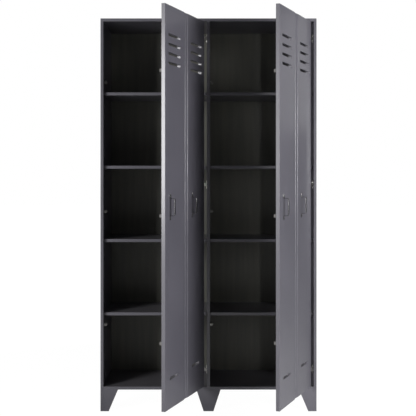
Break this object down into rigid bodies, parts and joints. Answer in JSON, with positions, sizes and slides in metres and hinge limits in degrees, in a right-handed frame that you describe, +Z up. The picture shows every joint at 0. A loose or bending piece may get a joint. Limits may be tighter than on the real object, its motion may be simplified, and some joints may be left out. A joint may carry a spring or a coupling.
{
  "type": "locker cabinet",
  "caption": "Tall painted board locker cabinet on tapered feet: shelved compartments behind wide louvred, grooved doors with bow handles, hung on concealed hinges",
  "frame": {"origin": "On the floor, under the middle of the front centre foot board.", "axes": "+X runs to the right along the cabinet's front, +Y from the front into the cabinet, +Z up. The doors stand open at rest, turned about vertical axes just in front of their right-hand edges."},
  "size_m": [1.1, 0.8979, 2],
  "materials": {
    "painted_board": "satin paint on board, dark purple grey",
    "handle_steel": "satin black steel strip",
    "fitting_steel": "nickel-plated pressed steel",
    "catch_plastic": "grey moulded plastic"
  },
  "bodies": {
    "cabinet": {"left_side_panel": "painted_board", "right_side_panel": "painted_board", "top_panel": "painted_board", "bottom_panel": "painted_board", "centre_partition": "painted_board", "left_shelf_1": "painted_board", "left_shelf_2": "painted_board", "left_shelf_3": "painted_board", "left_shelf_4": "painted_board", "right_shelf_1": "painted_board", "right_shelf_2": "painted_board", "right_shelf_3": "painted_board", "right_shelf_4": "painted_board", "left_back_panel": "painted_board", "right_back_panel": "painted_board", "front_left_foot": "painted_board", "front_centre_foot": "painted_board", "front_right_foot": "painted_board", "rear_left_foot": "painted_board", "rear_centre_foot": "painted_board", "rear_right_foot": "painted_board", "left_hinge_plate_1": "fitting_steel", "left_hinge_arm_1": "fitting_steel", "left_catch_magnet_1": "catch_plastic", "left_hinge_plate_2": "fitting_steel", "left_hinge_arm_2": "fitting_steel", "left_catch_magnet_2": "catch_plastic", "left_hinge_plate_3": "fitting_steel", "left_hinge_arm_3": "fitting_steel", "left_catch_magnet_3": "catch_plastic", "right_hinge_plate_1": "fitting_steel", "right_hinge_arm_1": "fitting_steel", "right_catch_magnet_1": "catch_plastic", "right_hinge_plate_2": "fitting_steel", "right_hinge_arm_2": "fitting_steel", "right_catch_magnet_2": "catch_plastic", "right_hinge_plate_3": "fitting_steel", "right_hinge_arm_3": "fitting_steel", "right_catch_magnet_3": "catch_plastic"},
    "left_door": {"left_door": "painted_board", "left_door_left_handle": "handle_steel", "left_door_right_handle": "handle_steel", "left_hinge_cup_1": "fitting_steel", "left_hinge_cup_2": "fitting_steel", "left_hinge_cup_3": "fitting_steel", "left_catch_strike_1": "fitting_steel", "left_catch_strike_2": "fitting_steel", "left_catch_strike_3": "fitting_steel"},
    "right_door": {"right_door": "painted_board", "right_door_left_handle": "handle_steel", "right_door_right_handle": "handle_steel", "right_hinge_cup_1": "fitting_steel", "right_hinge_cup_2": "fitting_steel", "right_hinge_cup_3": "fitting_steel", "right_catch_strike_1": "fitting_steel", "right_catch_strike_2": "fitting_steel", "right_catch_strike_3": "fitting_steel"}
  },
  "joints": [
    {"name": "left_door_hinge", "type": "hinge", "parent": "cabinet", "child": "left_door", "pos_m": [-0.0105, -0.0195, 1.055], "axis": [0, 0, 1], "range_deg": [-70, 40]},
    {"name": "right_door_hinge", "type": "hinge", "parent": "cabinet", "child": "right_door", "pos_m": [0.532, -0.0195, 1.055], "axis": [0, 0, 1], "range_deg": [-67.3, 42.7]}
  ]
}
